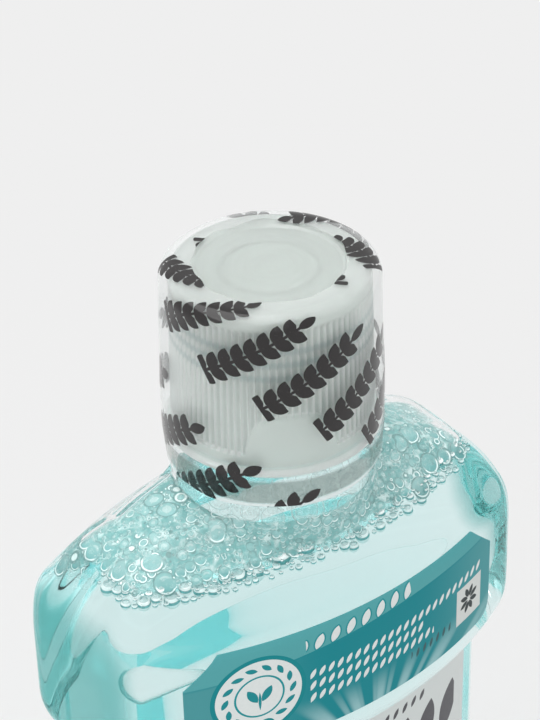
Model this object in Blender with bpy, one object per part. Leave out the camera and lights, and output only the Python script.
"""Mouthwash bottle: a blown bottle with a waist, its mouthwash, a two-piece screw cap and a clear tamper sleeve.

Metres, +Z up, front label towards -Y, origin at the middle of the foot. Run with blender --background --python part.py
"""

import math

import bmesh
import bpy

# Plan of the bottle's two bands
BODY_WIDTH = 0.0965
BODY_DEPTH = 0.0566
FRONT_RADIUS = 0.0934
CORNER_SHARE = 0.575

# Heights of the bottle, from the foot up
FOOT_RADIUS = 0.005
LOWER_BAND_HEIGHT = 0.0295
LIP_HEIGHT = 0.0095
WAIST_HEIGHT = 0.0581
UPPER_BAND_HEIGHT = 0.0139
SHOULDER_RISE = 0.0275
PEDESTAL_RISE = 0.0094
NECK_HEIGHT = 0.0241

# Other sizes of the bottle, with the pedestal and the ring as far out from the neck as named
WALL = 0.0009
WAIST_RECESS = 0.0062
SHOULDER_TOP_WIDTH = 0.0368
SHOULDER_FULLNESS = 2.15
NECK_RADIUS = 0.0134
NECK_WALL = 0.002
PEDESTAL_SHELF = 0.0059
PEDESTAL_EDGE = 0.001
BLEND_POWER = 16
NECK_RING_WIDTH = 0.0015
NECK_RING_RISE = 0.0016
NECK_RING_HEIGHT = 0.0014
RIM_ROUND = 0.0006
FOOT_RING_WIDTH = 0.005
PUSH_UP_HEIGHT = 0.002
PUSH_UP_SLOPE = 0.006

# Shares of the shoulder's rise, and of the half depth that is left at each
SHOULDER_SHARES = (
    (0.22, 1.0),
    (0.30, 0.993),
    (0.37, 0.965),
    (0.44, 0.905),
    (0.50, 0.858),
    (0.57, 0.80),
    (0.69, 0.70),
    (0.77, 0.622),
    (0.83, 0.552),
    (0.89, 0.465),
    (0.96, 0.42),
    (1.0, 0.40),
)

# Contents
HEADSPACE = 0.0084
CONTENTS_GAP = 0.0003
FOAM_THICKNESS = 0.004

# Cap shell
CAP_SEAT = 0.0007
CAP_HEIGHT = 0.0334
CAP_WALL = 0.0012
BEAD_REACH = 0.0012
BEAD_HEIGHT = 0.0018
SKIRT_SETBACK = 0.0001
SKIRT_TAPER = 0.0007
SKIRT_EDGE = 0.0016
TOP_RIM_WIDTH = 0.0053
TOP_RECESS_DEPTH = 0.0004
STOP_RING_RADIUS = 0.0095
STOP_RING_WALL = 0.001

# Ribs and squeeze pads of the skirt
RIB_COUNT = 88
RIB_DEPTH = 0.0006
RIB_FOOT = 0.0041
RIB_TOP_MARGIN = 0.003
RIB_LAND_SHARE = 0.16
PAD_COUNT = 2
PAD_WIDTH = 0.018
PAD_HEIGHT = 0.0128
PAD_ROUNDNESS = 3
PAD_TURN = math.radians(-25.2)

# Cap cup and liner, with the room between neck and cup that their thread takes up
THREAD_ROOM = 0.002
CUP_WALL = 0.0011
CUP_EDGE = 0.001
CUP_LIFT = 0.0012
CUP_FLANGE_HEIGHT = 0.001
LINER_PLAY = 0.0007
LINER_THICKNESS = 0.0012
SEAT_GAP = 0.0003

# Tamper sleeve
FILM = 0.00025
SLEEVE_GAP = 0.0003
SLEEVE_OVERHANG = 0.0063
SLEEVE_SHOULDER_WIDTH = 0.0037
SLEEVE_SHOULDER_HEIGHT = 0.0026
SLEEVE_TAPER = 0.0007
SLEEVE_TURN_IN = 0.0064

# Labels
LABEL_THICKNESS = 0.00025
LABEL_GAP = 0.0003
UPPER_LABEL_WIDTH = 0.0732
UPPER_LABEL_RISE = 0.0242
UPPER_LABEL_OVERLAP = 0.0005
UPPER_LABEL_CUT_WIDTH = 0.0066
UPPER_LABEL_CUT_HEIGHT = 0.0066
UPPER_LABEL_NIP = 0.003
LOWER_LABEL_WIDTH = 0.0712
LOWER_LABEL_MARGIN = 0.002
LOWER_LABEL_CUT = 0.0015

# Fineness
END_STEPS = 2
CORNER_STEPS = 4
FRONT_STEPS = 6
LIP_STEPS = 4
FOOT_STEPS = 2
EDGE_STEPS = 3
TURN_STEPS = 60
LABEL_COLUMNS = 16
UPPER_LABEL_ROWS = 11
LOWER_LABEL_ROWS = 1
WELD = 1e-7
OVERRUN = 0.0004

# Sizes that follow from those above
HALF_WIDTH = BODY_WIDTH / 2
HALF_DEPTH = BODY_DEPTH / 2
TOP_HALF_WIDTH = SHOULDER_TOP_WIDTH / 2
BORE_RADIUS = NECK_RADIUS - NECK_WALL
NECK_RING_RADIUS = NECK_RADIUS + NECK_RING_WIDTH
PEDESTAL_RADIUS = NECK_RADIUS + PEDESTAL_SHELF
CUP_RADIUS = NECK_RADIUS + THREAD_ROOM
LINER_RADIUS = CUP_RADIUS - LINER_PLAY
BEAD_RADIUS = PEDESTAL_RADIUS + BEAD_REACH
SKIRT_RADIUS = PEDESTAL_RADIUS - SKIRT_SETBACK
SKIRT_TOP_RADIUS = SKIRT_RADIUS - SKIRT_TAPER
TOP_RECESS_RADIUS = SKIRT_TOP_RADIUS - TOP_RIM_WIDTH
SLEEVE_MOUTH_RADIUS = BEAD_RADIUS - SLEEVE_TURN_IN
WAIST_BOTTOM = LOWER_BAND_HEIGHT + LIP_HEIGHT
WAIST_TOP = WAIST_BOTTOM + WAIST_HEIGHT
BAND_BOTTOM = WAIST_TOP + LIP_HEIGHT
BAND_TOP = BAND_BOTTOM + UPPER_BAND_HEIGHT
SHOULDER_TOP = BAND_TOP + SHOULDER_RISE
FILL_HEIGHT = SHOULDER_TOP - HEADSPACE
PEDESTAL_TOP = SHOULDER_TOP + PEDESTAL_RISE
NECK_TOP = PEDESTAL_TOP + NECK_HEIGHT
CAP_BOTTOM = PEDESTAL_TOP + CAP_SEAT
CAP_TOP = CAP_BOTTOM + CAP_HEIGHT
LINER_BOTTOM = NECK_TOP + SEAT_GAP
LINER_TOP = LINER_BOTTOM + LINER_THICKNESS
CUP_BOTTOM = CAP_BOTTOM + CUP_LIFT
CUP_END = LINER_TOP + SEAT_GAP
CUP_TOP = CUP_END + CUP_WALL


def corner_of(half_width, half_depth):
    """Centre and radius of the arc between a flat end and the bowed front."""
    bow = half_depth - FRONT_RADIUS
    radius = CORNER_SHARE * (bow + math.sqrt(FRONT_RADIUS**2 - half_width**2))
    x = half_width - radius
    return x, bow + math.sqrt((FRONT_RADIUS - radius) ** 2 - x**2), radius


def corner_angles(half_width, half_depth):
    """Polar angles at which a corner's arc starts and ends."""
    x, y, radius = corner_of(half_width, half_depth)
    lean = math.atan2(y - half_depth + FRONT_RADIUS, x)
    return math.atan2(y, half_width), math.atan2(y + radius * math.sin(lean), x + radius * math.cos(lean))


def reach(angle, half_width, half_depth):
    """Distance from the axis to the plan outline, along a direction in its first quarter."""
    across, along = math.cos(angle), math.sin(angle)
    first, last = corner_angles(half_width, half_depth)
    if angle <= first:
        return half_width / across
    if angle >= last:
        bow = half_depth - FRONT_RADIUS
        return bow * along + math.sqrt(FRONT_RADIUS**2 - (bow * across) ** 2)
    x, y, radius = corner_of(half_width, half_depth)
    near = x * across + y * along
    return near + math.sqrt(max(radius**2 - x**2 - y**2 + near**2, 0))


def stretch(first, last, steps):
    """Evenly spaced values from first up to, but not including, last."""
    return [first + (last - first) * step / steps for step in range(steps)]


def all_angles():
    """Polar angles of the points of every outline, closest together round the four corners."""
    first, last = corner_angles(HALF_WIDTH, HALF_DEPTH)
    side = math.pi / 2
    quarter = stretch(0, first, END_STEPS) + stretch(first, last, CORNER_STEPS) + stretch(last, side, FRONT_STEPS)
    half = quarter + [side] + [math.pi - angle for angle in reversed(quarter[1:])]
    return half + [math.pi + angle for angle in half]


def circle(radius):
    """A round outline with the points of every other outline."""
    return [(radius * math.cos(angle), radius * math.sin(angle)) for angle in all_angles()]


def outline(half_width, half_depth, pedestal):
    """A plan outline, swollen where the round pedestal reaches past it."""
    ring = []
    for angle in all_angles():
        across, along = math.cos(angle), math.sin(angle)
        distance = reach(math.atan2(abs(along), abs(across)), half_width, half_depth)
        if pedestal:
            distance = (distance**BLEND_POWER + pedestal**BLEND_POWER) ** (1 / BLEND_POWER)
        ring.append((distance * across, distance * along))
    return ring


def lip_recess(share):
    """How far a band's rounded lip has drawn in at a share of its height."""
    return WAIST_RECESS * (1 - math.sqrt(1 - share**2))


def body_levels():
    """Levels of the bottle's skin, bottom to top: height, half width, half depth, pedestal, and the share of
    the wall by which an inner skin stands above (or, if negative, below) the outer one there."""
    levels = []

    def add(height, inset, sink):
        levels.append((height, HALF_WIDTH - inset, HALF_DEPTH - inset, False, sink))

    add(PUSH_UP_HEIGHT, FOOT_RADIUS + FOOT_RING_WIDTH + PUSH_UP_SLOPE, 1)
    add(0, FOOT_RADIUS + FOOT_RING_WIDTH, 1)
    for step in range(FOOT_STEPS + 1):
        lean = step / FOOT_STEPS * math.pi / 2
        add(FOOT_RADIUS * (1 - math.cos(lean)), FOOT_RADIUS * (1 - math.sin(lean)), math.cos(lean))
    for step in range(LIP_STEPS + 1):
        share = math.sin(step / LIP_STEPS * math.pi / 2)
        add(LOWER_BAND_HEIGHT + LIP_HEIGHT * share, lip_recess(share), -(share**2))
    for step in reversed(range(LIP_STEPS + 1)):
        share = math.sin(step / LIP_STEPS * math.pi / 2)
        add(BAND_BOTTOM - LIP_HEIGHT * share, lip_recess(share), share**2)
    add(BAND_TOP, 0, 0)
    for rise, left in SHOULDER_SHARES:
        spread = (1 - rise**SHOULDER_FULLNESS) ** (1 / SHOULDER_FULLNESS)
        half_width = TOP_HALF_WIDTH + (HALF_WIDTH - TOP_HALF_WIDTH) * spread
        levels.append((BAND_TOP + SHOULDER_RISE * rise, half_width, HALF_DEPTH * left, True, -rise))
    return levels


def skin(inset):
    """Rings of the bottle's surface up to the foot of the pedestal, drawn in by inset."""
    rings = []
    for height, half_width, half_depth, pedestal, sink in body_levels():
        ring = outline(half_width - inset, half_depth - inset, (PEDESTAL_RADIUS - inset) if pedestal else 0)
        rings.append((height + sink * inset, ring))
    return rings


def neck(inset):
    """Rings of the pedestal, its shelf and the neck, outside if inset is 0 and inside if it is the wall."""
    if inset:
        sizes = (
            (PEDESTAL_TOP - PEDESTAL_EDGE - inset, PEDESTAL_RADIUS - inset),
            (PEDESTAL_TOP - inset, PEDESTAL_RADIUS - PEDESTAL_EDGE - inset),
            (PEDESTAL_TOP - inset, BORE_RADIUS),
            (NECK_TOP - RIM_ROUND, BORE_RADIUS),
            (NECK_TOP, BORE_RADIUS + RIM_ROUND),
        )
    else:
        ring_bottom = PEDESTAL_TOP + NECK_RING_RISE
        sizes = (
            (PEDESTAL_TOP - PEDESTAL_EDGE, PEDESTAL_RADIUS),
            (PEDESTAL_TOP, PEDESTAL_RADIUS - PEDESTAL_EDGE),
            (PEDESTAL_TOP, NECK_RADIUS),
            (ring_bottom, NECK_RADIUS),
            (ring_bottom, NECK_RING_RADIUS),
            (ring_bottom + NECK_RING_HEIGHT, NECK_RING_RADIUS),
            (ring_bottom + NECK_RING_HEIGHT, NECK_RADIUS),
            (NECK_TOP - RIM_ROUND, NECK_RADIUS),
            (NECK_TOP, NECK_RADIUS - RIM_ROUND),
        )
    return [(height, circle(radius)) for height, radius in sizes]


def between(lower, upper, height):
    """The ring at a height between two rings."""
    share = (height - lower[0]) / (upper[0] - lower[0])
    points = [(a + (c - a) * share, b + (d - b) * share) for (a, b), (c, d) in zip(lower[1], upper[1])]
    return height, points


def filled(rings, top, bottom=None):
    """The rings of what fills a skin, from its floor or from bottom, up to top."""
    kept = []
    for lower, upper in zip(rings, rings[1:]):
        if bottom is not None and lower[0] < bottom < upper[0]:
            kept.append(between(lower, upper, bottom))
        if bottom is None or lower[0] > bottom:
            kept.append(lower)
        if lower[0] < top < upper[0]:
            kept.append(between(lower, upper, top))
            break
    return kept


def new_object(name, bm, material):
    """Makes an object from a bmesh, with its faces pointing out and its rounds shaded smooth."""
    bmesh.ops.recalc_face_normals(bm, faces=bm.faces)
    mesh = bpy.data.meshes.new(name)
    bm.to_mesh(mesh)
    bm.free()
    mesh.shade_smooth()
    mesh.set_sharp_from_angle(angle=math.radians(35))
    mesh.materials.append(material)
    made = bpy.data.objects.new(name, mesh)
    bpy.context.scene.collection.objects.link(made)
    return made


def skinned(bm, loops):
    """Faces between successive loops of vertices, with a face on the first and on the last."""
    for lower, upper in zip(loops, loops[1:]):
        for here in range(len(lower)):
            there = (here + 1) % len(lower)
            bm.faces.new((lower[here], lower[there], upper[there], upper[here]))
    bm.faces.new(reversed(loops[0]))
    bm.faces.new(loops[-1])


def loft(name, rings, material):
    """A closed solid through rings, with a flat face on the first and on the last."""
    bm = bmesh.new()
    skinned(bm, [[bm.verts.new((x, y, height)) for x, y in points] for height, points in rings])
    return new_object(name, bm, material)


def turned(name, profile, material, steps=TURN_STEPS):
    """A solid turned about Z from a profile of radii and heights that is closed, or ends on the axis."""
    bm = bmesh.new()
    points = [bm.verts.new((radius, 0, height)) for radius, height in profile]
    edges = [bm.edges.new(pair) for pair in zip(points, points[1:])]
    if profile[0][0] and profile[-1][0]:
        edges.append(bm.edges.new((points[-1], points[0])))
    around = {"axis": (0, 0, 1), "cent": (0, 0, 0), "angle": 2 * math.pi, "steps": steps, "use_merge": True}
    bmesh.ops.spin(bm, geom=points + edges, **around)
    bmesh.ops.remove_doubles(bm, verts=bm.verts, dist=WELD)
    return new_object(name, bm, material)


def cut(owner, name, bm):
    """Cuts a hidden shape away from an object by a Boolean."""
    tool = new_object(name, bm, owner.data.materials[0])
    tool.hide_render = True
    tool.display_type = "WIRE"
    change = owner.modifiers.new(name, "BOOLEAN")
    change.operation = "DIFFERENCE"
    change.solver = "EXACT"
    change.object = tool


def plastic(name, colour, roughness, clear=0.0, metallic=0.0):
    """A Principled material of one colour."""
    made = bpy.data.materials.new(name)
    made.use_nodes = True
    shader = made.node_tree.nodes["Principled BSDF"]
    shader.inputs["Base Color"].default_value = (*colour, 1)
    shader.inputs["Roughness"].default_value = roughness
    shader.inputs["Metallic"].default_value = metallic
    shader.inputs["Transmission Weight"].default_value = clear
    return made


def arc(centre, size, first, last):
    """Points of a quarter ellipse about a centre, from one angle to another in degrees."""
    angles = [math.radians(first + (last - first) * step / EDGE_STEPS) for step in range(EDGE_STEPS + 1)]
    return [(centre[0] + size[0] * math.cos(a), centre[1] + size[1] * math.sin(a)) for a in angles]


def skirt_radius(height):
    """Outer radius of the cap's tapering skirt."""
    foot, top = CAP_BOTTOM + BEAD_HEIGHT, CAP_TOP - SKIRT_EDGE
    return SKIRT_RADIUS + (SKIRT_TOP_RADIUS - SKIRT_RADIUS) * (height - foot) / (top - foot)


def shell_profile():
    """Half section of the cap's outer moulding, from the middle of its top, down outside and up inside."""
    top = CAP_TOP - SKIRT_EDGE
    under = CAP_TOP - TOP_RECESS_DEPTH - CAP_WALL
    stop = CUP_TOP + SEAT_GAP
    foot = CAP_BOTTOM + BEAD_HEIGHT
    points = [(0, CAP_TOP - TOP_RECESS_DEPTH), (TOP_RECESS_RADIUS, CAP_TOP - TOP_RECESS_DEPTH)]
    points.append((TOP_RECESS_RADIUS + TOP_RECESS_DEPTH, CAP_TOP))
    points += arc((SKIRT_TOP_RADIUS - SKIRT_EDGE, top), (SKIRT_EDGE, SKIRT_EDGE), 90, 0)
    points += arc((SKIRT_RADIUS, CAP_BOTTOM + BEAD_HEIGHT / 2), (BEAD_RADIUS - SKIRT_RADIUS, BEAD_HEIGHT / 2), 90, -90)
    points += [(SKIRT_RADIUS - CAP_WALL, CAP_BOTTOM), (skirt_radius(foot) - CAP_WALL, foot)]
    points += [(SKIRT_TOP_RADIUS - CAP_WALL, top), (SKIRT_TOP_RADIUS - SKIRT_EDGE, under)]
    points += [(STOP_RING_RADIUS, under), (STOP_RING_RADIUS, stop)]
    points += [(STOP_RING_RADIUS - STOP_RING_WALL, stop), (STOP_RING_RADIUS - STOP_RING_WALL, under), (0, under)]
    return points


def pad_top(turn):
    """Height of the arch of a smooth squeeze pad at a direction, or 0 beside the pads."""
    spacing = 2 * math.pi / PAD_COUNT
    off = (turn - PAD_TURN + math.pi / 2 + spacing / 2) % spacing - spacing / 2
    share = abs(off) * SKIRT_RADIUS / (PAD_WIDTH / 2)
    if share >= 1:
        return 0
    return PAD_HEIGHT * (1 - share**PAD_ROUNDNESS) ** (1 / PAD_ROUNDNESS)


def cut_ribs(shell):
    """Cuts the grooves between the skirt's ribs, which stop at the arches of the squeeze pads."""
    bm = bmesh.new()
    top = CAP_TOP - RIB_TOP_MARGIN
    half = (1 - RIB_LAND_SHARE) * math.pi / RIB_COUNT
    for rib in range(RIB_COUNT):
        turn = 2 * math.pi * rib / RIB_COUNT
        foot = CAP_BOTTOM + max(RIB_FOOT, pad_top(turn))
        ends = []
        for height in (foot, top):
            deep, proud = skirt_radius(height) - RIB_DEPTH, skirt_radius(height) + OVERRUN
            corners = ((deep, turn), (proud, turn + half), (proud, turn - half))
            ends.append([bm.verts.new((r * math.cos(a), r * math.sin(a), height)) for r, a in corners])
        low, high = ends
        bm.faces.new(low)
        bm.faces.new(reversed(high))
        for here, there in ((0, 1), (1, 2), (2, 0)):
            bm.faces.new((low[there], low[here], high[here], high[there]))
    cut(shell, "rib_grooves", bm)


def cup_profile():
    """Half section of the measuring cup, from the middle of its closed end."""
    outer = CUP_RADIUS + CUP_WALL
    flange = skirt_radius(CUP_BOTTOM) - CAP_WALL - SEAT_GAP
    points = [(0, CUP_TOP)] + arc((outer - CUP_EDGE, CUP_TOP - CUP_EDGE), (CUP_EDGE, CUP_EDGE), 90, 0)
    points += [(outer, CUP_BOTTOM + CUP_FLANGE_HEIGHT), (flange, CUP_BOTTOM + CUP_FLANGE_HEIGHT)]
    return points + [(flange, CUP_BOTTOM), (CUP_RADIUS, CUP_BOTTOM), (CUP_RADIUS, CUP_END), (0, CUP_END)]


def sleeve_profile():
    """Half section of the film, up outside from its hem, over the cap's edge, and back down inside."""
    radius = BEAD_RADIUS + SLEEVE_GAP + FILM
    top = CAP_TOP + SLEEVE_GAP + FILM
    bottom = CAP_BOTTOM - SLEEVE_OVERHANG
    centre = (radius - SLEEVE_TAPER - SLEEVE_SHOULDER_WIDTH, top - SLEEVE_SHOULDER_HEIGHT)
    size = (SLEEVE_SHOULDER_WIDTH, SLEEVE_SHOULDER_HEIGHT)
    outside = [(radius, bottom)] + arc(centre, size, 0, 90) + [(SLEEVE_MOUTH_RADIUS, top)]
    size = (SLEEVE_SHOULDER_WIDTH - FILM, SLEEVE_SHOULDER_HEIGHT - FILM)
    inside = [(SLEEVE_MOUTH_RADIUS, top - FILM)] + arc(centre, size, 90, 0) + [(radius - FILM, bottom)]
    return outside + inside


def front(x, height):
    """Distance of the bottle's front face from its middle plane, at a place across it and a height."""
    levels = body_levels()[2:]
    for (low, _, depth, _, _), (high, _, next_depth, _, _) in zip(levels, levels[1:]):
        if low <= height <= high and high > low:
            half_depth = depth + (next_depth - depth) * (height - low) / (high - low)
            return half_depth - FRONT_RADIUS + math.sqrt(FRONT_RADIUS**2 - x**2)
    raise ValueError("a label reaches past the bottle's front")


def label(name, width, bottom, top, rows, cut_width, cut_height, foot_cut, material):
    """A thin plate that follows the front, with its upper corners cut and its lower ones nipped."""
    bm = bmesh.new()
    bmesh.ops.create_grid(bm, x_segments=LABEL_COLUMNS, y_segments=rows, size=1)
    half = width / 2
    for vert in bm.verts:
        x, rise = vert.co.x * half, (vert.co.y + 1) / 2
        over = max(abs(x) - half + cut_width, 0) / cut_width
        under = max(abs(x) - half + foot_cut, 0) / foot_cut
        low, high = bottom + foot_cut * under, top - cut_height * over
        height = low + (high - low) * rise
        vert.co = (x, -front(x, height) - LABEL_GAP, height)
    grown = bmesh.ops.extrude_face_region(bm, geom=bm.faces[:])["geom"]
    bmesh.ops.translate(bm, verts=[v for v in grown if isinstance(v, bmesh.types.BMVert)], vec=(0, -LABEL_THICKNESS, 0))
    return new_object(name, bm, material)


def build_bottle():
    rings = skin(0) + neck(0) + list(reversed(skin(WALL) + neck(WALL)))
    loft("bottle", rings, plastic("clear_bottle", (0.86, 0.95, 0.95), 0.05, clear=1.0))


def build_contents():
    inside = skin(WALL + CONTENTS_GAP)
    loft("mouthwash", filled(inside, FILL_HEIGHT), plastic("pale_teal_liquid", (0.55, 0.87, 0.86), 0.02, clear=1.0))
    foam_bottom = FILL_HEIGHT + SEAT_GAP
    foam = filled(inside, foam_bottom + FOAM_THICKNESS, foam_bottom)
    loft("foam", foam, plastic("clear_bubbles", (0.84, 0.94, 0.94), 0.08, clear=0.8))


def build_cap():
    shell = turned("cap_shell", shell_profile(), plastic("frosted_cap", (0.78, 0.86, 0.83), 0.42, clear=0.5))
    cut_ribs(shell)
    turned("cap_cup", cup_profile(), plastic("frosted_cup", (0.74, 0.83, 0.80), 0.45, clear=0.5))
    disc = [(0, LINER_TOP), (LINER_RADIUS, LINER_TOP), (LINER_RADIUS, LINER_BOTTOM), (0, LINER_BOTTOM)]
    turned("cap_liner", disc, plastic("white_liner", (0.82, 0.84, 0.83), 0.55))
    turned("shrink_sleeve", sleeve_profile(), plastic("clear_film", (0.96, 0.97, 0.97), 0.06, clear=1.0))


def build_labels():
    bottom = BAND_BOTTOM - UPPER_LABEL_OVERLAP
    cut = (UPPER_LABEL_CUT_WIDTH, UPPER_LABEL_CUT_HEIGHT, UPPER_LABEL_NIP)
    teal = plastic("teal_label", (0.04, 0.42, 0.46), 0.4)
    label("label_upper", UPPER_LABEL_WIDTH, bottom, bottom + UPPER_LABEL_RISE, UPPER_LABEL_ROWS, *cut, teal)
    bottom, top = WAIST_BOTTOM + LOWER_LABEL_MARGIN, WAIST_TOP - LOWER_LABEL_MARGIN
    cut = (LOWER_LABEL_CUT, LOWER_LABEL_CUT, LOWER_LABEL_CUT)
    silver = plastic("silver_label", (0.78, 0.79, 0.77), 0.35, metallic=0.4)
    label("label_lower", LOWER_LABEL_WIDTH, bottom, top, LOWER_LABEL_ROWS, *cut, silver)


def main():
    for old in list(bpy.data.objects):
        bpy.data.objects.remove(old)
    build_bottle()
    build_contents()
    build_cap()
    build_labels()


main()
